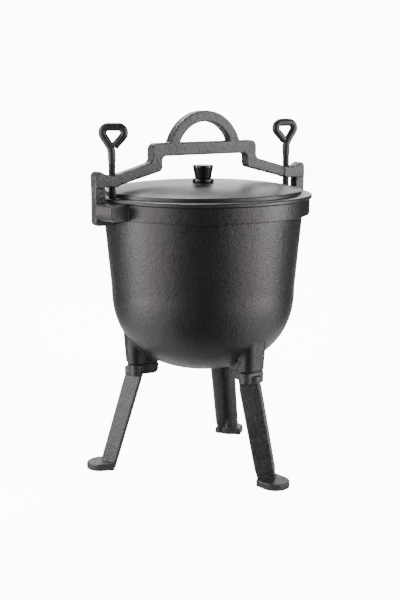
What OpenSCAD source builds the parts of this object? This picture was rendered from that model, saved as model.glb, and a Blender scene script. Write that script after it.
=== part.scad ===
// Cast iron campfire pot with a lid held down by a clamp yoke, on three socketed legs.
// Millimetres, +Z up. Origin on the pot's axis at the floor, the ears lie along X.

/* [Pot] */
// Outside diameter of the rim band
band_d = 303.4; // [290:0.2:320]
// Height of the rim band
band_h = 22.5; // [18:0.5:26]
// Outside depth of the pot from its rim to its lowest point
bowl_h = 246.5; // [220:0.5:280]
// Thickness of the cast wall
wall = 4.6; // [4:0.1:6]
// Height of the pot's lowest point above the floor
leg_room = 146.5; // [135:0.5:175]
// How much the wall draws in for each millimetre downwards
draft = 0.09; // [0.06:0.01:0.12]

/* [Ears] */
// Width of each ear
ear_w = 36.4; // [30:0.2:42]
// Distance from the pot's axis to the end of an ear
ear_reach = 181; // [176:1:190]

/* [Lid] */
// How far the lid's brim stands out past the rim band
brim_over = 3.3; // [1:0.1:5]
// Thickness of the flat brim
brim_t = 5.2; // [4:0.1:7]
// Height of the raised edge inside the brim
step_h = 8; // [6:0.5:10]
// Rise of the dome above the raised edge
dome_h = 6.6; // [5:0.2:12]

/* [Knob] */
// Diameter of the knob's top
knob_d = 29.6; // [24:0.2:36]
// Height of the knob
knob_h = 18.4; // [15:0.2:24]
// Diameter of the collar under the knob
collar_d = 30.4; // [28:0.2:34]
// Height of the collar under the knob
collar_h = 6.6; // [4:0.2:8]

/* [Clamp yoke] */
// Thickness of the yoke from face to face
yoke_t = 14.5; // [12:0.5:16]
// Height of the yoke's top bar
bar_h = 17.5; // [14:0.5:20]
// Height of the bar's top above the pot's rim
bar_rise = 77.5; // [72:0.5:90]
// Outer radius of the round handle
grip_r = 60.5; // [52:0.5:63]
// Thickness of the handle's arch
grip_t = 14.5; // [10:0.5:16]

/* [Clamp screws] */
// Diameter of the clamp screws
screw_d = 10; // [8:0.1:11]
// Length of a screw from its tip to the start of its loop
screw_len = 60; // [56:1:76]

/* [Legs] */
// Width of each flange of the angled leg at its head
flange_w = 26.6; // [23:0.2:29]
// Width of each flange at the foot
flange_foot_w = 23.8; // [20:0.2:26]
// Thickness of the leg's flanges
flange_t = 5.5; // [4:0.5:7]
// Outward lean of the legs in degrees
leg_lean = 16; // [13:0.1:18]
// Half the width of the foot pads, also the radius of their toes
toe_r = 20; // [16:0.5:22]
// Thickness of the foot pads
pad_h = 10.2; // [8:0.2:12]

/* [Hidden] */
$fa = 4;
$fs = 0.6;
// rim and band
rim_z = leg_room + bowl_h;
band_r = band_d / 2;
band_z = rim_z - band_h;
band_out = 10.4;
band_edge = 3;
neck_r = band_r - band_out;
// bowl: a drafted wall that turns into a flattened round bottom
turn_h = 118;
turn_r = neck_r - (bowl_h - band_h - turn_h) * draft;
bowl_pow = 2 / 2.3;
bowl_steps = 14;
mouth_r = neck_r + band_h * draft - wall;
// ears
ear_root = 12;
ear_low = 11;
ear_high = 2.5;
// lid
brim_r = band_r + brim_over;
brim_z = rim_z + brim_t;
brim_edge = 2;
step_in = 11.7;
step_r = band_r - step_in;
step_z = brim_z + step_h;
step_edge = 2.5;
dome_edge_r = step_r - step_edge;
lid_z = step_z + dome_h;
lid_fit = 1.5;
plug_h = 5;
plug_t = 4.5;
dome_r = (dome_edge_r * dome_edge_r + dome_h * dome_h) / (2 * dome_h);
lid_wall = 4.6;
dome_steps = 10;
// knob and its screw
collar_z = lid_z + collar_h;
collar_edge = 1.5;
knob_edge = 1.2;
knob_taper = 0.79;
knob_screw_d = 6;
knob_head_d = 12;
knob_head_h = 3.5;
screw_in_knob = 10;
thread_gap = 0.05;
screw_hole_gap = 0.3;
// the head of the knob's screw stays this far below the curved underside of the lid
head_gap = 0.05;
// yoke
bar_z = rim_z + bar_rise;
bar_edge = 8;
boss_over = 2.5;
boss_t = yoke_t + boss_over;
hook_room = 7;
hook_in = brim_r + hook_room;
hook_t = 14.4;
hook_out = hook_in + hook_t;
hook_edge = 3;
arm_h = 8.2;
arm_gap = 2.4;
boss_z = rim_z + 21;
boss_r = 8.5;
saddle_z = rim_z + 36.4;
horn_z = rim_z + 42.6;
shoulder_z = rim_z + 52;
riser_x = 87.5;
riser_t = 16;
riser_low_z = rim_z + 40;
riser_edge = 7;
riser_fillet = 4;
under_lead = 1.6;
under_in = 7;
grip_low_z = bar_z - 17.2;
stop_gap = 0.5;
yoke_turn = asin((ear_w / 2 + stop_gap + yoke_t / 2) / hook_in);
// clamp screws stand on the flat of the brim
screw_x = (step_r + brim_r) / 2;
screw_gap = 0.25;
screw_r = screw_d / 2;
left_loop_turn = -33;
right_loop_turn = 169;
// The bent top of a screw, each move a length, or a radius and the degrees turned through
loop = [["turn", -22, 32], ["run", 14.6], ["turn", 8, 122], ["run", 13.4], ["turn", 8, 132],
        ["run", 17.4]];
// The bends are a hair thicker than the straight lengths, which run a little way into them
bend_swell = 0.03;
bend_lap = 0.3;
// sockets
leg_angles = [270, 150, 30];
socket_r = 101;
socket_top = leg_room + 8;
boss_half = 6.5;
boss_low_r = 12;
boss_high_r = 15.5;
web_in = 70;
web_t = 24;
web_h = 22;
// legs, each turned a little in its socket
leg_turns = [-4.5, -1, 2];
spigot_d = 14;
spigot_gap = 0.3;
spigot_len = 19;
seat_gap = 0.3;
head_len = 37;
head_w = 18;
head_h = 16;
head_low = socket_top - head_h;
// the round nose that covers the corner of the flanges, lower than the rest of the head
corner_out = 14.5;
nose_r = 8.5;
nose_h = 11;
bar_in_head = 5;
// the tongue that runs inwards from the head, under the bowl
tongue_in = 67.5;
tongue_t = 16;
tongue_rise = 1.2;
tongue_edge = 4;
foot_x = corner_out + (head_low - pad_h) * tan(leg_lean);
heel_in = 17;
toe_out = 0.6;
toe_slope = 5;
pad_edge = 2.5;
// the gusset inside the corner of the flanges, on the pad
gusset_in = 11.5;
gusset_h = 16;
gusset_r = 9;
gusset_top_r = 2;

iron = [0.16, 0.16, 0.16];
lid_iron = [0.30, 0.30, 0.31];
yoke_iron = [0.28, 0.29, 0.28];
steel = [0.20, 0.20, 0.21];
plastic = [0.03, 0.03, 0.03];

// Outline of the bowl from its axis up to the turn, drawn in by t
function bowl_line(t) = [for (i = [bowl_steps:-1:0])
    let (a = 90 * i / bowl_steps)
    [(turn_r - t) * pow(cos(a), bowl_pow),
     leg_room + turn_h - (turn_h - t) * pow(sin(a), bowl_pow)]];

module pot_wall() {
    rotate_extrude() union() {
        polygon(concat(bowl_line(0),
            [[neck_r, band_z], [band_r - band_edge, band_z], [band_r, band_z + band_edge],
             [band_r, rim_z], [0, rim_z]]));
        translate([band_r - band_edge, band_z + band_edge]) circle(band_edge);
    }
}

module pot_room() {
    rotate_extrude()
        polygon(concat(bowl_line(wall), [[mouth_r, rim_z + 1], [0, rim_z + 1]]));
}

// One ear, a block with a well rounded lower edge
module ear() {
    root = band_r - ear_root;
    rotate([90, 0, 0]) translate([0, 0, -ear_w / 2]) linear_extrude(ear_w) union() {
        translate([root, band_z]) square([ear_reach - ear_low - root, band_h]);
        translate([root, band_z + ear_low])
            square([ear_reach - root, band_h - ear_low - ear_high]);
        translate([root, rim_z - ear_high - 1])
            square([ear_reach - ear_high - root, ear_high + 1]);
        translate([ear_reach - ear_low, band_z + ear_low]) circle(ear_low);
        translate([ear_reach - ear_high, rim_z - ear_high]) circle(ear_high);
    }
}

// One leg socket: an oval boss with a web that runs inwards under the bowl
module socket() {
    boss_h = bowl_h / 5;
    for (s = [-1, 1]) translate([socket_r, s * boss_half, socket_top])
        cylinder(h = boss_h, r1 = boss_low_r, r2 = boss_high_r);
    translate([socket_r - boss_low_r, -boss_half, socket_top])
        cube([2 * boss_low_r, 2 * boss_half, boss_h]);
    rotate([90, 0, 0]) translate([0, 0, -web_t / 2]) linear_extrude(web_t)
        polygon([[web_in, socket_top], [socket_r, socket_top], [socket_r, socket_top + web_h],
                 [web_in - web_h / 2, socket_top + web_h]]);
}

module pot() color(iron) {
    difference() {
        union() {
            pot_wall();
            for (side = [0, 180]) rotate([0, 0, side]) ear();
            for (a = leg_angles) rotate([0, 0, a]) socket();
        }
        pot_room();
        for (a = leg_angles) rotate([0, 0, a]) translate([socket_r, 0, socket_top - 1])
            cylinder(h = spigot_len + 2, d = spigot_d + 2 * spigot_gap);
    }
}

// Arc of the dome from its top out to its edge, lowered by t, out to radius r
function dome_line(t, r) = [for (i = [0:dome_steps])
    let (a = asin(r / dome_r) * i / dome_steps)
    [dome_r * sin(a), lid_z - t - dome_r + dome_r * cos(a)]];

module lid() color(lid_iron) {
    room_r = mouth_r - lid_fit - plug_t;
    difference() {
        union() {
            translate([0, 0, rim_z]) cylinder(h = brim_t - brim_edge, r = brim_r);
            translate([0, 0, rim_z]) cylinder(h = brim_t, r = brim_r - brim_edge);
            rotate_extrude() translate([brim_r - brim_edge, brim_z - brim_edge])
                circle(brim_edge);
            translate([0, 0, rim_z - plug_h]) cylinder(h = plug_h + 1, r = mouth_r - lid_fit);
            rotate_extrude() union() {
                polygon(concat(dome_line(0, dome_edge_r),
                    [[step_r, step_z - step_edge], [step_r, rim_z + 1], [0, rim_z + 1]]));
                translate([dome_edge_r, step_z - step_edge]) circle(step_edge);
            }
        }
        rotate_extrude()
            polygon(concat(dome_line(lid_wall, room_r),
                [[room_r, rim_z - plug_h - 1], [0, rim_z - plug_h - 1]]));
        translate([0, 0, rim_z]) cylinder(h = 40, d = knob_screw_d + 2 * screw_hole_gap);
    }
}

module knob_collar() color(plastic) {
    difference() {
        translate([0, 0, lid_z]) rotate_extrude() union() {
            square([collar_d / 2 - collar_edge, collar_h]);
            square([collar_d / 2, collar_h - collar_edge]);
            translate([collar_d / 2 - collar_edge, collar_h - collar_edge]) circle(collar_edge);
        }
        translate([0, 0, lid_z - 1])
            cylinder(h = collar_h + 2, d = knob_screw_d + 2 * screw_hole_gap);
    }
}

module knob() color(plastic) {
    side_h = knob_h - knob_edge;
    translate([0, 0, collar_z]) difference() {
        union() {
            cylinder(h = side_h, d1 = knob_d * knob_taper, d2 = knob_d);
            translate([0, 0, side_h]) cylinder(h = knob_edge, d = knob_d - 2 * knob_edge);
            translate([0, 0, side_h]) rotate_extrude()
                translate([knob_d / 2 - knob_edge, 0]) circle(knob_edge);
        }
        translate([0, 0, -1])
            cylinder(h = screw_in_knob + 2.5, d = knob_screw_d + 2 * thread_gap);
    }
}

module knob_screw() color(steel) {
    head_z = lid_z - lid_wall - head_gap;
    translate([0, 0, head_z])
        cylinder(h = collar_z + screw_in_knob - head_z, d = knob_screw_d);
    translate([0, 0, head_z - knob_head_h]) cylinder(h = knob_head_h, d = knob_head_d);
}

// Side view of one half of the yoke, from the middle out to the hook
module yoke_side() {
    riser_in = riser_x - riser_t;
    arm_in = neck_r + arm_gap;
    arm_z = band_z - arm_h;
    over_in = screw_x - boss_r;
    over_z = saddle_z + under_lead;
    over_slope = (shoulder_z - over_z) / (over_in - riser_x);
    under_slope = (riser_low_z - boss_z - under_lead) / (screw_x - under_in - riser_in);
    along = sqrt(1 + under_slope * under_slope);
    edge_z = riser_low_z + riser_edge * (along - under_slope);
    edge_x = riser_edge * (1 - under_slope / along);
    polygon([[0, bar_z], [riser_x - bar_edge, bar_z], [riser_x, bar_z - bar_edge],
             [riser_x, shoulder_z + riser_fillet],
             [riser_x + riser_fillet, shoulder_z - riser_fillet * over_slope],
             [over_in, over_z], [screw_x, saddle_z],
             [hook_out - 16, saddle_z + 1.2], [hook_out - 7, horn_z], [hook_out - 3, horn_z - 1],
             [hook_out, horn_z - 5.6], [hook_out, arm_z + hook_edge],
             [hook_out - hook_edge, arm_z], [arm_in + hook_edge, arm_z],
             [arm_in, arm_z + hook_edge], [arm_in, band_z - 2], [arm_in + 2, band_z],
             [hook_in - hook_edge, band_z], [hook_in, band_z + hook_edge],
             [hook_in, boss_z], [screw_x - 5, boss_z], [screw_x - under_in, boss_z + under_lead],
             [riser_in + edge_x, riser_low_z - under_slope * edge_x],
             [riser_in, edge_z], [riser_in, bar_z - bar_h - 4],
             [riser_in - 4, bar_z - bar_h], [0, bar_z - bar_h]]);
    translate([riser_x - bar_edge, bar_z - bar_edge]) circle(bar_edge);
    translate([riser_in + riser_edge, edge_z]) circle(riser_edge);
}

module yoke_half() {
    boss_room = 60;
    rotate([90, 0, 0]) translate([0, 0, -yoke_t / 2]) linear_extrude(yoke_t) yoke_side();
    rotate([90, 0, 0]) translate([0, 0, -boss_t / 2]) linear_extrude(boss_t) intersection() {
        yoke_side();
        translate([screw_x - boss_r, boss_z]) square(boss_room);
    }
}

module yoke() color(yoke_iron) rotate([0, 0, -yoke_turn]) {
    foot_cut = 14;
    difference() {
        union() {
            yoke_half();
            rotate([0, 0, 180]) yoke_half();
            translate([0, 0, grip_low_z]) intersection() {
                rotate([90, 0, 0]) difference() {
                    cylinder(h = yoke_t, r = grip_r, center = true);
                    cylinder(h = yoke_t + 2, r = grip_r - grip_t, center = true);
                }
                translate([-grip_r, -yoke_t, foot_cut]) cube([2 * grip_r, 2 * yoke_t, grip_r]);
            }
        }
        for (x = [-screw_x, screw_x]) translate([x, 0, boss_z - 1])
            cylinder(h = horn_z - boss_z + 10, r = screw_r + screw_gap);
    }
}

// Round bar bent through the moves of the loop, from move i on
module bent_bar(i) {
    m = loop[i];
    if (m[0] == "run") {
        laps = i < len(loop) - 1 ? 2 : 1;
        translate([0, 0, -bend_lap]) cylinder(h = m[1] + laps * bend_lap, r = screw_r);
        if (i < len(loop) - 1) translate([0, 0, m[1]]) bent_bar(i + 1);
    } else {
        side = sign(m[1]);
        translate([m[1], 0, 0]) rotate([90, 0, 0]) rotate([0, 0, side > 0 ? 180 - m[2] : 0])
            rotate_extrude(angle = m[2]) translate([abs(m[1]), 0]) circle(screw_r + bend_swell);
        translate([m[1], 0, 0]) rotate([0, side * m[2], 0]) translate([-m[1], 0, 0]) bent_bar(i + 1);
    }
}

// A clamp screw with its top bent round into a heart-shaped loop
module screw(x, turn) rotate([0, 0, -yoke_turn]) translate([x, 0, brim_z]) rotate([0, 0, turn]) {
    cylinder(h = screw_len + bend_lap, r = screw_r);
    translate([0, 0, screw_len]) bent_bar(0);
}

module left_screw() color(steel) screw(-screw_x, left_loop_turn);

module right_screw() color(steel) screw(screw_x, right_loop_turn);

// The round-ended head that sits under a socket, with a nose outwards and a tongue inwards
module leg_head() {
    straight = head_len - head_w;
    tongue = socket_r - tongue_in;
    top = head_h - seat_gap;
    translate([-head_w / 2, -straight / 2, head_low]) cube([head_w, straight, top]);
    for (s = [-1, 1]) translate([0, s * straight / 2, head_low])
        cylinder(h = top, d = head_w);
    translate([corner_out - nose_r, 0, head_low]) cylinder(h = nose_h, r = nose_r);
    translate([0, tongue_t / 2, head_low]) rotate([90, 0, 0]) linear_extrude(tongue_t)
        polygon([[0, 0], [0, top], [-tongue, top], [1 - tongue, tongue_rise + tongue_edge],
                 [1 + tongue_edge - tongue, tongue_rise], [-head_w / 2, 0]]);
}

// Two tapered flanges between head and foot, their common corner facing outwards
module leg_bar() {
    down = head_low * 1.1;
    up = head_h * 1.4;
    slope = (flange_w - flange_foot_w) / down;
    intersection() {
        translate([corner_out, 0, head_low]) rotate([0, -leg_lean, 0]) for (s = [-1, 1])
            rotate([0, 0, s * 135]) translate([0, (s + 1) / 2 * flange_t, 0])
                rotate([90, 0, 0]) linear_extrude(flange_t)
                    polygon([[0, -down], [flange_foot_w, -down],
                             [flange_w + slope * up, up], [0, up]]);
        translate([-head_len, -head_len, 2]) cube([160, 2 * head_len, head_low + bar_in_head - 2]);
    }
}

// A pad with a straight heel, a round toe that slopes down, and a gusset inside the corner
module foot() {
    toe_x = foot_x + toe_out;
    heel_x = foot_x - heel_in;
    difference() {
        union() {
            translate([toe_x, 0, 0]) rotate_extrude() union() {
                square([toe_r - pad_edge, pad_h]);
                square([toe_r, pad_h - pad_edge]);
                translate([toe_r - pad_edge, pad_h - pad_edge]) circle(pad_edge);
            }
            translate([heel_x, -toe_r, 0]) cube([toe_x - heel_x, 2 * toe_r, pad_h - pad_edge]);
            translate([heel_x, -toe_r + pad_edge, 0])
                cube([toe_x - heel_x, 2 * (toe_r - pad_edge), pad_h]);
            for (s = [-1, 1]) translate([heel_x, s * (toe_r - pad_edge), pad_h - pad_edge])
                rotate([0, 90, 0]) cylinder(h = toe_x - heel_x, r = pad_edge);
        }
        translate([foot_x, -2 * toe_r, pad_h]) rotate([0, toe_slope, 0])
            cube([3 * toe_r, 4 * toe_r, pad_h]);
    }
    translate([foot_x - gusset_in, 0, pad_h - 1])
        cylinder(h = gusset_h, r1 = gusset_r, r2 = gusset_top_r);
}

module leg(i) color(iron) rotate([0, 0, leg_angles[i]]) translate([socket_r, 0, 0])
    rotate([0, 0, leg_turns[i]]) {
        leg_head();
        translate([0, 0, socket_top - 1]) cylinder(h = spigot_len + 1, d = spigot_d);
        leg_bar();
        foot();
    }

module front_leg() leg(0);

module left_leg() leg(1);

module right_leg() leg(2);

pot();
lid();
knob_collar();
knob();
knob_screw();
yoke();
left_screw();
right_screw();
front_leg();
left_leg();
right_leg();
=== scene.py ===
"""The cast iron pot, dressed: soft-edged, grainy castings, bent screws with threads, a turned knob."""
import math

import bmesh
import bpy
from mathutils import Matrix, Vector


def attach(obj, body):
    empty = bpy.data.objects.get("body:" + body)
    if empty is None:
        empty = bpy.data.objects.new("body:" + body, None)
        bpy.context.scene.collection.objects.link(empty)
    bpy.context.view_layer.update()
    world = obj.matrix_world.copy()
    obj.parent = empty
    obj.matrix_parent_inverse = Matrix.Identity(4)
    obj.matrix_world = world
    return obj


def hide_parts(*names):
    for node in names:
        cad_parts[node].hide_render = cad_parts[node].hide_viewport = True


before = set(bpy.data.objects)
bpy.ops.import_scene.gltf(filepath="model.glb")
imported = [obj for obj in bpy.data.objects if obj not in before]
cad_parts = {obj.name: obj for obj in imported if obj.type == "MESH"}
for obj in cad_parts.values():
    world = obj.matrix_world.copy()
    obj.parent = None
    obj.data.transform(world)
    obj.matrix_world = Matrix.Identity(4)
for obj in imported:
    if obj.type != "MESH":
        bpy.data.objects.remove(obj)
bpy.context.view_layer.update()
MM = 0.001

# Sizes that the part's source has too, in millimetres and degrees
LEG_ROOM = 146.5
RIM_Z = 393.0
BAND_R = 151.7
BAND_Z = 370.5
NECK_R = 141.3
TURN_H = 118.0
TURN_R = 131.76
TURN_Z = LEG_ROOM + TURN_H
WALL = 4.6
MOUTH_R = 138.7
MOUTH_DRAFT = 2
BOWL_POWER = 2 / 2.3
BRIM_R = 155.0
BRIM_Z = 398.2
STEP_R = 140.0
LID_Z = 412.8
LID_WALL = 4.6
LID_FIT = 1.5
LID_HOLE_R = 3.3
PLUG_H = 5
PLUG_T = 4.5
DOME_EDGE_R = 137.5
DOME_H = 6.6
DOME_R = (DOME_EDGE_R ** 2 + DOME_H ** 2) / (2 * DOME_H)
COLLAR_Z = 419.4
COLLAR_R = 15.2
KNOB_TOP = 437.8
KNOB_R = 14.8
KNOB_TAPER = 0.79
SCREW_R = 5.0
SCREW_X = 147.5
SCREW_LEN = 60.0
SCREW_LOOP = (("turn", -22, 32), ("run", 14.6, 0), ("turn", 8, 122), ("run", 13.4, 0),
              ("turn", 8, 132), ("run", 17.4, 0))
YOKE_TURN = -9.218
LEFT_LOOP_TURN = -33
RIGHT_LOOP_TURN = 169
LEG_ANGLES = (270, 150, 30)

# The turned wall of the pot. PROUD is how far it stands out from the cast patches.
PROUD = 0.18
BOWL_STEPS = 40
SIDE_STEPS = 14
BAND_FILLET = 1.5
BAND_ROUND = 1.6
BAND_RINGS = (BAND_Z + 8, RIM_Z - 6)
MOUTH_ROUND = 1.2

# The lid's fuller dome, its roundings, and the plug ring below it
SHOULDER_Z = 404.0
SHOULDER_ROUND = 2.0
DOME_POWER = 4
DOME_STEPS = 30
UNDER_STEPS = 11
BRIM_FILLET = 1.2
BRIM_ROUND = 2.2
BRIM_FOOT = 1
PLUG_EDGE = 0.5

# The knob and its collar. HAIR keeps two skins from lying in one plane.
HAIR = 0.02
KNOB_HOLE_R = 3.1
KNOB_HOLE_RISE = 0.2
KNOB_FOOT_ROUND = 0.8
KNOB_FOOT_IN = 1
KNOB_TOP_ROUND = 1.3
KNOB_SIDE_LOW = 1.2
KNOB_SIDE_CUT = 2.6
KNOB_SIDE_STEPS = 6
KNOB_CROWN = 0.6
COLLAR_FOOT_IN = 1.5
COLLAR_FOOT_ROUND = 1.2
COLLAR_TOP_ROUND = 1.6
COLLAR_SIDE_H = 4.1
COLLAR_SEAT = 0.78

# The clamp screws' bar: a thread at the foot, then a bar thicker by BAR_EXTRA. The ends narrow by END_TAPER,
# and each end's numbers are a start and a length in mm.
PATH_STEP = 0.3
BAR_SIDES = 28
BAR_EXTRA = 0.5
BAR_BLEND = 4.0
THREAD_START = 0.5
THREAD_LEN = 49.5
THREAD_PITCH = 1.5
THREAD_DEPTH = 0.62
THREAD_POWER = 1.8
THREAD_FADE = 3.0
END_TAPER = 0.14
FOOT_END = (0.35, 1.2)
LOOP_END = (0.5, 1.0)

# Castings: the voxel in mm and the rounds of smoothing; the boxes that hold an ear or a socket; what the
# skins of the yoke and the legs gain; the heights between which a leg's shaft gains more; and the radius
# about a screw's axis where nothing moves
EAR_MESH = (0.9, 9)
SOCKET_MESH = (0.95, 60)
YOKE_MESH = (1.0, 7)
LEG_MESH = (0.8, 8)
EAR_BOX = ((128, -42, 362), (190, 42, RIM_Z + 1))
SOCKET_BOX = ((48, -42, 120), (136, 42, 222))
YOKE_SKIN = 0.35
LEG_SKIN = 0.3
SHAFT_SKINS = (("front_leg", 1.1), ("left_leg", 0.2), ("right_leg", 1.0))
SHAFT_LOW = 14.0
SHAFT_HIGH = 136.0
SHAFT_BLEND = 6.0
BORE_CLEAR = 6.5

# Meshes: points round a turned piece, and the distance in metres at which points are one
WIDE_SIDES = 256
KNOB_SIDES = 96
WELD = 1e-6

# The camera, from the perspective fit to the photograph
CAM_AZIMUTH = 42.618
CAM_DISTANCE = 1.66689
CAM_HEIGHT = 0.55881
CAM_PITCH = 10.75
CAM_YAW = -0.15
FOCAL_PX = 1169.3
FRAME_LONG_PX = 600

# Soft boxes, in metres. Strips stand on the floor: name, degrees round from the camera to its right, width,
# height, power. Boxes hang: name, up, away from the camera, to its right, size, power.
STRIPS = (("left_strip", -78, 0.5, 1.1, 17), ("left_fill", -48, 0.7, 1.1, 9),
          ("right_strip", 79, 0.5, 1.1, 17), ("right_fill", 50, 0.7, 1.1, 8))
BOXES = (("top_box", 1.7, 0.8, -0.4, (1.0, 0.7), 44),
         ("back_box", 0.62, 1.9, 0, (1.8, 0.6), 12),
         ("high_box", 1.05, 1.7, 0.28, (0.6, 0.4), 3.2))
STRIP_REACH = 1.25
STRIP_LIFT = 0.01
BOX_AIM = (0, 0, 0.4)

# The surroundings: what lights the pot, and what the camera sees
WORLD_SHADE = (0.05, 0.05, 0.052, 1)
WORLD_SEEN = (12.0, 12.0, 12.0, 1)
FLOOR_GLOW = 11.5
FLOOR_HALF = 6

# The floor's tones are painted light and shade for the pot to mirror: pale wings and a pale near zone stand
# in for lit surroundings, dark tones for shade. An edge is where a tone starts and ends to change: for the
# wings a share of the direction, for the near zone a distance in metres.
WING_TURNS = (-72, 72, 180)
WING_EDGE = (0.75, 0.96)
WING_PAINTED_LIGHT = (0.05, 0.95)
NEAR_SHIFT = 0.22
NEAR_EDGE = (0.34, 0.52)
NEAR_PAINTED_LIGHT = 0.62

# Iron: how many grains a cell of noise shows, the share of fine grain in the colour, the ramp's ends, how far
# the gloss varies, and how deep the coarse waves are beside the grain
GRAINS_PER_CELL = 2.2
FINE_SHARE = 0.6
RAMP_ENDS = (0.38, 0.62)
IRON_GLOSS = (-0.07, 0.1)
WAVE_SHARE = 1.1

# Sockets of Blender's Mix node that share a name, by their place
MIX_FACTOR = 0
MIX_A, MIX_B, MIX_VALUE = 2, 3, 0
MIX_COLOUR_A, MIX_COLOUR_B, MIX_COLOUR = 6, 7, 2


# The view

def view_axes():
    """Away from the camera along the floor, and to its right."""
    a = math.radians(CAM_AZIMUTH)
    return Vector((math.sin(a), math.cos(a), 0)), Vector((math.cos(a), -math.sin(a), 0))


def view_turn(turn):
    """The direction on the floor that is turn degrees round from the camera to its right."""
    away, right = view_axes()
    a = math.radians(turn)
    return right * math.sin(a) - away * math.cos(a)


def add_object(name, data):
    """An object in the scene that holds a mesh, a light or a camera."""
    obj = bpy.data.objects.new(name, data)
    bpy.context.scene.collection.objects.link(obj)
    return obj


def place_camera():
    p, y = math.radians(CAM_PITCH), math.radians(CAM_YAW)
    away, right = view_axes()
    up = Vector((0, 0, 1))
    level = away * math.cos(y) + right * math.sin(y)
    right = right * math.cos(y) - away * math.sin(y)
    forward = level * math.cos(p) - up * math.sin(p)
    top = up * math.cos(p) + level * math.sin(p)
    data = bpy.data.cameras.new("camera")
    data.sensor_width = 36
    data.lens = FOCAL_PX / FRAME_LONG_PX * data.sensor_width
    cam = add_object("camera", data)
    turn = Matrix((right, top, -forward)).transposed().to_4x4()
    spot = away * -CAM_DISTANCE + up * CAM_HEIGHT
    cam.matrix_world = Matrix.Translation(spot) @ turn
    bpy.context.scene.camera = cam


# Materials

def link(tree, a, b):
    tree.links.new(a, b)


def add_node(tree, kind, **values):
    """A new shader node; values are for its inputs, with _ for a space in an input's name."""
    node = tree.nodes.new("ShaderNode" + kind)
    for key, value in values.items():
        node.inputs[key.replace("_", " ")].default_value = value
    return node


def add_noise(tree, coords, **values):
    """Noise in the piece's own metres."""
    noise = add_node(tree, "TexNoise", **values)
    link(tree, coords.outputs["Object"], noise.inputs["Vector"])
    return noise.outputs["Fac"]


def add_ramp(tree, value, ends, dark, light):
    """A colour that runs from dark to light between two ends of a value."""
    ramp = add_node(tree, "ValToRGB")
    for stop, place, colour in zip(ramp.color_ramp.elements, ends, (dark, light)):
        stop.position = place
        stop.color = (*colour, 1)
    link(tree, value, ramp.inputs["Fac"])
    return ramp.outputs["Color"]


def add_range(tree, value, **values):
    """A value mapped to another range."""
    span = add_node(tree, "MapRange", **values)
    link(tree, value, span.inputs["Value"])
    return span


def new_material(name):
    mat = bpy.data.materials.new(name)
    mat.use_nodes = True
    tree = mat.node_tree
    return mat, tree, tree.nodes["Principled BSDF"]


def cast_material(name, dark, light, rough, grain, depth, specular=0.5, tint=(1, 1, 1)):
    """Cast iron: mottled colour, a grain about grain mm across and depth mm deep, and uneven gloss."""
    mat, tree, shader = new_material(name)
    shader.inputs["Specular IOR Level"].default_value = specular
    shader.inputs["Specular Tint"].default_value = (*tint, 1)
    coords = add_node(tree, "TexCoord")
    mottle = add_noise(tree, coords, Scale=38, Detail=6)
    fine = add_noise(tree, coords, Scale=1000 / grain / GRAINS_PER_CELL, Detail=3, Roughness=0.55)
    blend = add_node(tree, "Mix")
    blend.inputs[MIX_FACTOR].default_value = FINE_SHARE
    link(tree, mottle, blend.inputs[MIX_A])
    link(tree, fine, blend.inputs[MIX_B])
    colour = add_ramp(tree, blend.outputs[MIX_VALUE], RAMP_ENDS, dark, light)
    link(tree, colour, shader.inputs["Base Color"])
    least, most = IRON_GLOSS
    gloss = add_range(tree, fine, To_Min=rough + least, To_Max=rough + most)
    link(tree, gloss.outputs["Result"], shader.inputs["Roughness"])
    coarse = add_noise(tree, coords, Scale=120, Detail=4)
    waves = add_node(tree, "Bump", Strength=1, Distance=depth * WAVE_SHARE * MM)
    link(tree, coarse, waves.inputs["Height"])
    grains = add_node(tree, "Bump", Strength=1, Distance=depth * MM)
    link(tree, fine, grains.inputs["Height"])
    link(tree, waves.outputs["Normal"], grains.inputs["Normal"])
    link(tree, grains.outputs["Normal"], shader.inputs["Normal"])
    return mat


def gloss_material(name, colour, rough):
    """Black phenolic plastic: a faint swirl in the colour and fine scuffs in the gloss."""
    mat, tree, shader = new_material(name)
    coords = add_node(tree, "TexCoord")
    swirl = add_noise(tree, coords, Scale=60)
    dark, light = [c * 0.7 for c in colour], [c * 1.4 for c in colour]
    link(tree, add_ramp(tree, swirl, (0, 1), dark, light), shader.inputs["Base Color"])
    scuff = add_noise(tree, coords, Scale=500)
    gloss = add_range(tree, scuff, To_Min=rough, To_Max=rough + 0.12)
    link(tree, gloss.outputs["Result"], shader.inputs["Roughness"])
    return mat


# Mesh tools

def mesh_object(name, verts, faces, mat, body):
    mesh = bpy.data.meshes.new(name)
    mesh.from_pydata(verts, [], faces)
    mesh.update()
    mesh.shade_smooth()
    mesh.materials.append(mat)
    obj = add_object(name, mesh)
    fix_normals(obj)
    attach(obj, body)
    return obj


def fix_normals(obj):
    bm = bmesh.new()
    bm.from_mesh(obj.data)
    bmesh.ops.recalc_face_normals(bm, faces=bm.faces)
    bm.to_mesh(obj.data)
    bm.free()


def arc(cx, cz, r, start, end, steps):
    """Points on a circle in a side view, from one angle to another, in degrees."""
    out = []
    for i in range(steps + 1):
        a = math.radians(start + (end - start) * i / steps)
        out.append((cx + r * math.cos(a), cz + r * math.sin(a)))
    return out


def lathe(name, profile, mat, segments):
    """A turned surface. profile is a list of (radius, height) in mm; a radius of 0 closes on the axis."""
    verts, faces, rings = [], [], []
    for r, z in profile:
        if r == 0:
            rings.append([len(verts)])
            verts.append((0, 0, z * MM))
        else:
            rings.append(list(range(len(verts), len(verts) + segments)))
            for i in range(segments):
                a = 2 * math.pi * i / segments
                verts.append((r * MM * math.cos(a), r * MM * math.sin(a), z * MM))
    for low, high in zip(rings, rings[1:]):
        for i in range(segments):
            j = (i + 1) % segments
            if len(low) == 1:
                faces.append((low[0], high[j], high[i]))
            elif len(high) == 1:
                faces.append((low[i], low[j], high[0]))
            else:
                faces.append((low[i], low[j], high[j], high[i]))
    return mesh_object(name, verts, faces, mat, "pot")


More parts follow.
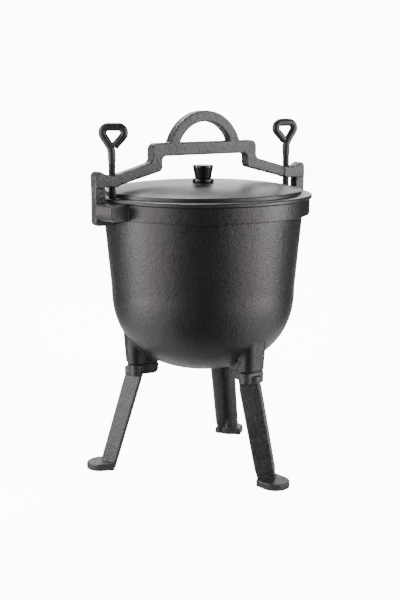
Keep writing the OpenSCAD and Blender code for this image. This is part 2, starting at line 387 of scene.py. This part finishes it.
def remesh(obj, voxel, rounds):
    """Voxel remesh, then smooth: edges and inner corners come out round, as on a casting."""
    mat = obj.data.materials[0]
    step = obj.modifiers.new("remesh", "REMESH")
    step.mode = "VOXEL"
    step.voxel_size = voxel * MM
    step = obj.modifiers.new("smooth", "SMOOTH")
    step.factor = 0.5
    step.iterations = rounds
    apply_modifiers(obj, mat)


def apply_modifiers(obj, mat):
    graph = bpy.context.evaluated_depsgraph_get()
    graph.update()
    done = bpy.data.meshes.new_from_object(obj.evaluated_get(graph))
    obj.modifiers.clear()
    obj.data = done
    done.materials.clear()
    done.materials.append(mat)
    done.shade_smooth()


def cad_copy(node, name, mat):
    """A copy of a CAD node's mesh as one closed skin; the node itself stays as it is."""
    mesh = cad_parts[node].data.copy()
    bm = bmesh.new()
    bm.from_mesh(mesh)
    bmesh.ops.remove_doubles(bm, verts=bm.verts, dist=WELD)
    bm.to_mesh(mesh)
    bm.free()
    mesh.materials.clear()
    mesh.materials.append(mat)
    return add_object(name, mesh)


def grow(obj, node, amount, shaft):
    """Move the skin out by amount mm, and by shaft mm more between SHAFT_LOW and SHAFT_HIGH: never past the
    CAD node's own box, and not in the screws' bores."""
    corners = [Vector(c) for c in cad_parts[node].bound_box]
    least = [min(c[k] for c in corners) for k in range(3)]
    most = [max(c[k] for c in corners) for k in range(3)]
    yoke = math.radians(YOKE_TURN)
    bores = [Vector((math.cos(yoke), math.sin(yoke))) * x * MM for x in (SCREW_X, -SCREW_X)]
    verts = obj.data.vertices
    spots = [v.co.copy() for v in verts]
    normals = [v.normal.copy() for v in verts]
    moved = []
    for spot, normal in zip(spots, normals):
        if min((spot.xy - bore).length for bore in bores) < BORE_CLEAR * MM:
            moved.extend(spot)
            continue
        z = spot.z / MM
        share = max(0.0, min(1.0, (z - SHAFT_LOW) / SHAFT_BLEND, (SHAFT_HIGH - z) / SHAFT_BLEND))
        spot += normal * (amount + share * shaft) * MM
        moved.extend(min(max(spot[k], least[k]), most[k]) for k in range(3))
    verts.foreach_set("co", moved)
    obj.data.update()


def soften(node, name, mat, voxel, rounds, body, slot, amount, shaft):
    """A CAD casting remade with rounded, slightly uneven edges; it stands for the CAD node."""
    obj = cad_copy(node, name, mat)
    remesh(obj, voxel, rounds)
    grow(obj, node, amount, shaft)
    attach(obj, body)
    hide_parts(node)


def box_cutter(name, low, high, turn):
    """A closed box from its low corner to its high one in mm, turned about Z by degrees."""
    c, s = math.cos(math.radians(turn)), math.sin(math.radians(turn))
    verts = []
    for z in (low[2], high[2]):
        for x, y in ((low[0], low[1]), (high[0], low[1]), (high[0], high[1]), (low[0], high[1])):
            verts.append(((x * c - y * s) * MM, (x * s + y * c) * MM, z * MM))
    faces = [(3, 2, 1, 0), (4, 5, 6, 7), (0, 1, 5, 4), (1, 2, 6, 5), (2, 3, 7, 6), (3, 0, 4, 7)]
    mesh = bpy.data.meshes.new(name)
    mesh.from_pydata(verts, [], faces)
    return add_object(name, mesh)


def cast_patch(name, mat, low, high, turn, voxel, rounds):
    """The part of the pot casting inside a box, with its fillets; it lies just under the turned wall."""
    obj = cad_copy("pot", name, mat)
    cutter = box_cutter(name + "_cutter", low, high, turn)
    cut = obj.modifiers.new("cut", "BOOLEAN")
    cut.operation = "INTERSECT"
    cut.solver = "EXACT"
    cut.object = cutter
    apply_modifiers(obj, mat)
    bpy.data.objects.remove(cutter)
    remesh(obj, voxel, rounds)
    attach(obj, "pot")
    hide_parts("pot")


# Pieces

def bowl_side(t):
    """Points up the bowl from its lowest point, drawn in by t mm."""
    out = []
    for i in range(BOWL_STEPS, -1, -1):
        a = math.radians(90 * i / BOWL_STEPS)
        r = (TURN_R - t) * math.cos(a) ** BOWL_POWER if i < BOWL_STEPS else 0
        out.append((r, TURN_Z - (TURN_H - t) * math.sin(a) ** BOWL_POWER))
    return out


def make_pot(mat):
    """The pot's wall, turned, a hair proud of the cast patches that carry the ears and sockets."""
    outer = [(r + PROUD if r > 0 else 0, z - PROUD * (TURN_Z - z) / TURN_H) for r, z in bowl_side(0)]
    for i in range(1, SIDE_STEPS + 1):
        f = i / SIDE_STEPS
        outer.append((TURN_R + (NECK_R - TURN_R) * f + PROUD,
                      TURN_Z + (BAND_Z - 2 * BAND_FILLET - TURN_Z) * f))
    outer += arc(NECK_R + BAND_FILLET + PROUD, BAND_Z - BAND_FILLET - PROUD, BAND_FILLET, 180, 90, 4)
    outer += arc(BAND_R - BAND_ROUND + PROUD, BAND_Z + BAND_ROUND - PROUD, BAND_ROUND, -90, 0, 6)
    outer += [(BAND_R + PROUD, z) for z in BAND_RINGS]
    outer += arc(BAND_R - BAND_ROUND + PROUD, RIM_Z - BAND_ROUND, BAND_ROUND, 0, 90, 4)
    inner = arc(MOUTH_R + MOUTH_ROUND, RIM_Z - MOUTH_ROUND, MOUTH_ROUND, 90, 180, 3)
    inner += [(MOUTH_R - MOUTH_DRAFT, BAND_Z)] + bowl_side(WALL)[::-1]
    pot = lathe("pot_wall", outer + inner, mat, WIDE_SIDES)
    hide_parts("pot")
    for side, turn in (("left", 180), ("right", 0)):
        cast_patch(side + "_ear", mat, *EAR_BOX, turn, *EAR_MESH)
    for name, turn in zip(("front", "left", "right"), LEG_ANGLES):
        cast_patch(name + "_socket", mat, *SOCKET_BOX, turn, *SOCKET_MESH)


def screw_path():
    """Middle line of a clamp screw in its own upright plane: points (x, z), the way on, and the length."""
    x = z = way = length = 0.0
    out = [(x, z, way, length)]

    def lay(dx, dz, turn, span):
        nonlocal x, z, way, length
        x, z, way, length = x + dx, z + dz, way + turn, length + span
        out.append((x, z, way, length))

    for kind, size, angle in (("run", SCREW_LEN, 0),) + SCREW_LOOP:
        if kind == "run":
            n = max(1, round(size / PATH_STEP))
            for _ in range(n):
                lay(math.sin(way) * size / n, math.cos(way) * size / n, 0, size / n)
        else:
            side = 1 if size > 0 else -1
            r = abs(size)
            n = max(4, round(r * math.radians(angle) / PATH_STEP))
            cx, cz = x + side * r * math.cos(way), z - side * r * math.sin(way)
            for _ in range(n):
                turn = side * math.radians(angle) / n
                nx = cx - side * r * math.cos(way + turn)
                nz = cz + side * r * math.sin(way + turn)
                lay(nx - x, nz - z, turn, r * math.radians(angle) / n)
    return out


def bar_radius(length, total):
    """The bar's radius in mm, without its thread, at a length along it."""
    thick = min(1.0, max(0.0, (length - THREAD_LEN) / BAR_BLEND))
    end = min(1.0, (length + FOOT_END[0]) / FOOT_END[1], (total - length + LOOP_END[0]) / LOOP_END[1])
    return (SCREW_R + BAR_EXTRA * thick) * (1 - END_TAPER + END_TAPER * end)


def make_screw(name, node, x, loop_turn, mat):
    """A clamp screw bent from round bar, with a rolled thread up to THREAD_LEN and a cropped end."""
    path = screw_path()
    total = path[-1][3]
    turn = math.radians(loop_turn)
    yoke = math.radians(YOKE_TURN)
    base = Vector((x * math.cos(yoke), x * math.sin(yoke), BRIM_Z))
    across = Vector((math.cos(yoke + turn), math.sin(yoke + turn), 0))
    side = Vector((-across.y, across.x, 0))
    up = Vector((0, 0, 1))
    verts, faces = [], []
    for px, pz, way, length in path:
        middle = base + across * px + up * pz
        out = across * math.cos(way) - up * math.sin(way)
        for k in range(BAR_SIDES):
            a = 2 * math.pi * k / BAR_SIDES
            r = bar_radius(length, total)
            if THREAD_START < length < THREAD_LEN:
                fade = min(1.0, (THREAD_LEN - length) / THREAD_FADE)
                wave = 0.5 + 0.5 * math.cos(2 * math.pi * length / THREAD_PITCH - a)
                r -= THREAD_DEPTH * fade * wave ** THREAD_POWER
            verts.append((middle + (out * math.cos(a) + side * math.sin(a)) * r) * MM)
    starts = [i * BAR_SIDES for i in range(len(path))]
    for low, high in zip(starts, starts[1:]):
        for k in range(BAR_SIDES):
            m = (k + 1) % BAR_SIDES
            faces.append((low + k, low + m, high + m, high + k))
    faces.append(tuple(range(BAR_SIDES - 1, -1, -1)))
    faces.append(tuple(range(starts[-1], starts[-1] + BAR_SIDES)))
    body = "left_clamp_screw" if x < 0 else "right_clamp_screw"
    obj = mesh_object(name, verts, faces, mat, body)
    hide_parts(node)


def make_lid(mat):
    """The lid, turned: a dome that falls off near its edge, a flat brim, and the plug ring below."""
    dome_r = STEP_R - SHOULDER_ROUND
    top = [(LID_HOLE_R, LID_Z - HAIR / 2)]
    for i in range(1, DOME_STEPS + 1):
        r = dome_r * i / DOME_STEPS
        top.append((r, LID_Z - (LID_Z - SHOULDER_Z) * (r / dome_r) ** DOME_POWER))
    top += arc(dome_r, SHOULDER_Z - SHOULDER_ROUND, SHOULDER_ROUND, 72, 0, 6)
    top += arc(STEP_R + BRIM_FILLET, BRIM_Z + BRIM_FILLET, BRIM_FILLET, 180, 270, 4)
    top += arc(BRIM_R - BRIM_ROUND, BRIM_Z - BRIM_ROUND, BRIM_ROUND, 90, 0, 6)
    top += arc(BRIM_R - BRIM_FOOT, RIM_Z + BRIM_FOOT, BRIM_FOOT, 0, -90, 3)
    plug_out = MOUTH_R - LID_FIT
    plug_in = plug_out - PLUG_T
    low = RIM_Z - PLUG_H
    under = [(plug_out, RIM_Z), (plug_out, low + PLUG_EDGE), (plug_out - PLUG_EDGE, low),
             (plug_in + PLUG_EDGE, low), (plug_in, low + PLUG_EDGE)]
    start = math.asin((plug_in - PLUG_EDGE) / DOME_R)
    for i in range(UNDER_STEPS, -1, -1):
        a = start * i / UNDER_STEPS
        under.append((max(LID_HOLE_R, DOME_R * math.sin(a)),
                      LID_Z - LID_WALL - DOME_R + DOME_R * math.cos(a)))
    lid = lathe("lid_casting", top + under + [top[0]], mat, WIDE_SIDES)
    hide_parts("lid")


def make_knob(mat):
    """The knob, wider towards its top, and the round collar that it stands on."""
    low = COLLAR_Z
    foot_r = KNOB_R * KNOB_TAPER
    side = [(0, low + KNOB_HOLE_RISE), (KNOB_HOLE_R, low), (foot_r - KNOB_FOOT_IN, low)]
    side += arc(foot_r - KNOB_FOOT_ROUND, low + KNOB_FOOT_ROUND, KNOB_FOOT_ROUND, -90, 0, 3)
    for i in range(1, KNOB_SIDE_STEPS + 1):
        side.append((foot_r + (KNOB_R - foot_r) * i / KNOB_SIDE_STEPS,
                     low + KNOB_SIDE_LOW + (KNOB_TOP - KNOB_SIDE_CUT - low) * i / KNOB_SIDE_STEPS))
    side += arc(KNOB_R - KNOB_TOP_ROUND, KNOB_TOP - KNOB_TOP_ROUND, KNOB_TOP_ROUND - HAIR, 0, 90, 5)
    side += [(KNOB_R * KNOB_CROWN, KNOB_TOP - HAIR), (0, KNOB_TOP)]
    knob = lathe("knob_turned", side, mat, KNOB_SIDES)
    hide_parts("knob")
    low = LID_Z
    ring = [(LID_HOLE_R, low), (COLLAR_R - COLLAR_FOOT_IN, low)]
    ring += arc(COLLAR_R - COLLAR_FOOT_ROUND, low + COLLAR_FOOT_ROUND, COLLAR_FOOT_ROUND, -90, 0, 4)
    ring += arc(COLLAR_R - COLLAR_TOP_ROUND, low + COLLAR_SIDE_H, COLLAR_TOP_ROUND, 0, 90, 5)
    ring += [(KNOB_R * COLLAR_SEAT, COLLAR_Z - HAIR), (LID_HOLE_R, COLLAR_Z - HAIR), (LID_HOLE_R, low)]
    collar = lathe("knob_flange", ring, mat, KNOB_SIDES)
    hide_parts("knob_collar")


# The studio

def add_light(name, spot, aim, size, power):
    data = bpy.data.lights.new(name, "AREA")
    data.shape = "RECTANGLE"
    data.size, data.size_y = size
    data.energy = power
    obj = add_object(name, data)
    obj.location = spot
    obj.rotation_euler = (Vector(aim) - spot).to_track_quat("-Z", "Y").to_euler()


def make_lights():
    away, right = view_axes()
    up = Vector((0, 0, 1))
    for name, turn, width, height, power in STRIPS:
        middle = height / 2 + STRIP_LIFT
        spot = view_turn(turn) * STRIP_REACH + up * middle
        add_light(name, spot, (0, 0, middle), (width, height), power)
    for name, rise, back, across, size, power in BOXES:
        add_light(name, up * rise + away * back + right * across, BOX_AIM, size, power)


def make_world():
    """A dark room whose walls the camera alone sees white."""
    world = bpy.data.worlds.new("studio")
    world.use_nodes = True
    tree = world.node_tree
    path = add_node(tree, "LightPath")
    mix = add_node(tree, "Mix")
    mix.data_type = "RGBA"
    mix.inputs[MIX_COLOUR_A].default_value = WORLD_SHADE
    mix.inputs[MIX_COLOUR_B].default_value = WORLD_SEEN
    link(tree, path.outputs["Is Camera Ray"], mix.inputs[MIX_FACTOR])
    link(tree, mix.outputs[MIX_COLOUR], tree.nodes["Background"].inputs["Color"])
    bpy.context.scene.world = world


def wing_share(tree, spot):
    """How nearly a spot on the floor lies in the direction of one of the wings: 1 is straight on."""
    most = None
    for turn in WING_TURNS:
        along = add_node(tree, "VectorMath")
        along.operation = "DOT_PRODUCT"
        along.inputs[1].default_value = view_turn(turn)
        link(tree, spot, along.inputs[0])
        if most is None:
            most = along.outputs["Value"]
            continue
        larger = add_node(tree, "Math")
        larger.operation = "MAXIMUM"
        link(tree, most, larger.inputs[0])
        link(tree, along.outputs["Value"], larger.inputs[1])
        most = larger.outputs["Value"]
    reach = add_node(tree, "VectorMath")
    reach.operation = "LENGTH"
    link(tree, spot, reach.inputs[0])
    share = add_node(tree, "Math")
    share.operation = "DIVIDE"
    link(tree, most, share.inputs[0])
    link(tree, reach.outputs["Value"], share.inputs[1])
    return share.outputs["Value"]


def painted_floor_light(tree, spot):
    """The floor's painted light and shade: pale under and behind the pot, paler in wings to both sides and to
    the back, and dark elsewhere; the pale parts stand in for lit surroundings and the dark parts for shade."""
    away, _ = view_axes()
    wings = add_range(tree, wing_share(tree, spot), From_Min=WING_EDGE[0], From_Max=WING_EDGE[1],
                      To_Min=WING_PAINTED_LIGHT[0], To_Max=WING_PAINTED_LIGHT[1])
    wings.interpolation_type = "SMOOTHSTEP"
    shift = add_node(tree, "VectorMath")
    shift.operation = "DISTANCE"
    shift.inputs[1].default_value = away * NEAR_SHIFT
    link(tree, spot, shift.inputs[0])
    near = add_range(tree, shift.outputs["Value"], From_Min=NEAR_EDGE[0], From_Max=NEAR_EDGE[1],
                     To_Min=1, To_Max=0)
    near.interpolation_type = "SMOOTHSTEP"
    tone = add_node(tree, "Mix")
    link(tree, near.outputs["Result"], tone.inputs[MIX_FACTOR])
    link(tree, wings.outputs["Result"], tone.inputs[MIX_A])
    tone.inputs[MIX_B].default_value = NEAR_PAINTED_LIGHT
    return tone.outputs[MIX_VALUE]


def make_floor():
    """The floor: the camera sees it glow white, and the pot mirrors its painted light and shade."""
    mat, tree, shader = new_material("floor")
    shader.inputs["Roughness"].default_value = 0.8
    shader.inputs["Emission Color"].default_value = (1, 1, 1, 1)
    path = add_node(tree, "LightPath")
    glow = add_node(tree, "Math")
    glow.operation = "MULTIPLY"
    glow.inputs[1].default_value = FLOOR_GLOW
    link(tree, path.outputs["Is Camera Ray"], glow.inputs[0])
    link(tree, glow.outputs["Value"], shader.inputs["Emission Strength"])
    coords = add_node(tree, "TexCoord")
    # The floor's base colour is painted light and shade, for the pot to mirror.
    link(tree, painted_floor_light(tree, coords.outputs["Object"]), shader.inputs["Base Color"])
    mesh = bpy.data.meshes.new("floor")
    s = FLOOR_HALF
    mesh.from_pydata([(-s, -s, 0), (s, -s, 0), (s, s, 0), (-s, s, 0)], [], [(0, 1, 2, 3)])
    mesh.materials.append(mat)
    obj = add_object("floor", mesh)


place_camera()
make_world()
make_lights()
make_floor()
pot_iron = cast_material("pot_iron", (0.008, 0.0075, 0.0075), (0.014, 0.0135, 0.013),
                         rough=0.36, grain=1.1, depth=0.4, tint=(1, 0.95, 0.92))
lid_iron = cast_material("lid_iron", (0.012, 0.0125, 0.014), (0.022, 0.023, 0.025),
                         rough=0.38, grain=1.0, depth=0.12, tint=(0.96, 0.98, 1))
yoke_iron = cast_material("yoke_iron", (0.01, 0.011, 0.009), (0.052, 0.054, 0.049),
                          rough=0.42, grain=1.6, depth=1.1)
leg_iron = cast_material("leg_iron", (0.01, 0.01, 0.009), (0.04, 0.04, 0.037),
                         rough=0.42, grain=1.5, depth=0.8)
screw_steel = cast_material("screw_steel", (0.012, 0.012, 0.012), (0.028, 0.028, 0.028),
                            rough=0.36, grain=0.8, depth=0.1, specular=0.4)
knob_plastic = gloss_material("knob_plastic", (0.008, 0.008, 0.008), rough=0.16)
looks = {"pot": pot_iron, "lid": lid_iron, "knob_collar": knob_plastic, "knob": knob_plastic,
         "knob_screw": screw_steel, "yoke": yoke_iron, "left_screw": screw_steel,
         "right_screw": screw_steel, "front_leg": leg_iron, "left_leg": leg_iron, "right_leg": leg_iron}
for node, mat in looks.items():
    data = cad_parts[node].data
    data.materials.clear()
    data.materials.append(mat)

make_pot(pot_iron)
make_lid(lid_iron)
make_knob(knob_plastic)
soften("yoke", "yoke_casting", yoke_iron, *YOKE_MESH, "pot", "yoke_iron", YOKE_SKIN, 0)
for node, shaft in SHAFT_SKINS:
    soften(node, node + "_casting", leg_iron, *LEG_MESH, "pot", "leg_iron", LEG_SKIN, shaft)
make_screw("left_screw_bent", "left_screw", -SCREW_X, LEFT_LOOP_TURN, screw_steel)
make_screw("right_screw_bent", "right_screw", SCREW_X, RIGHT_LOOP_TURN, screw_steel)
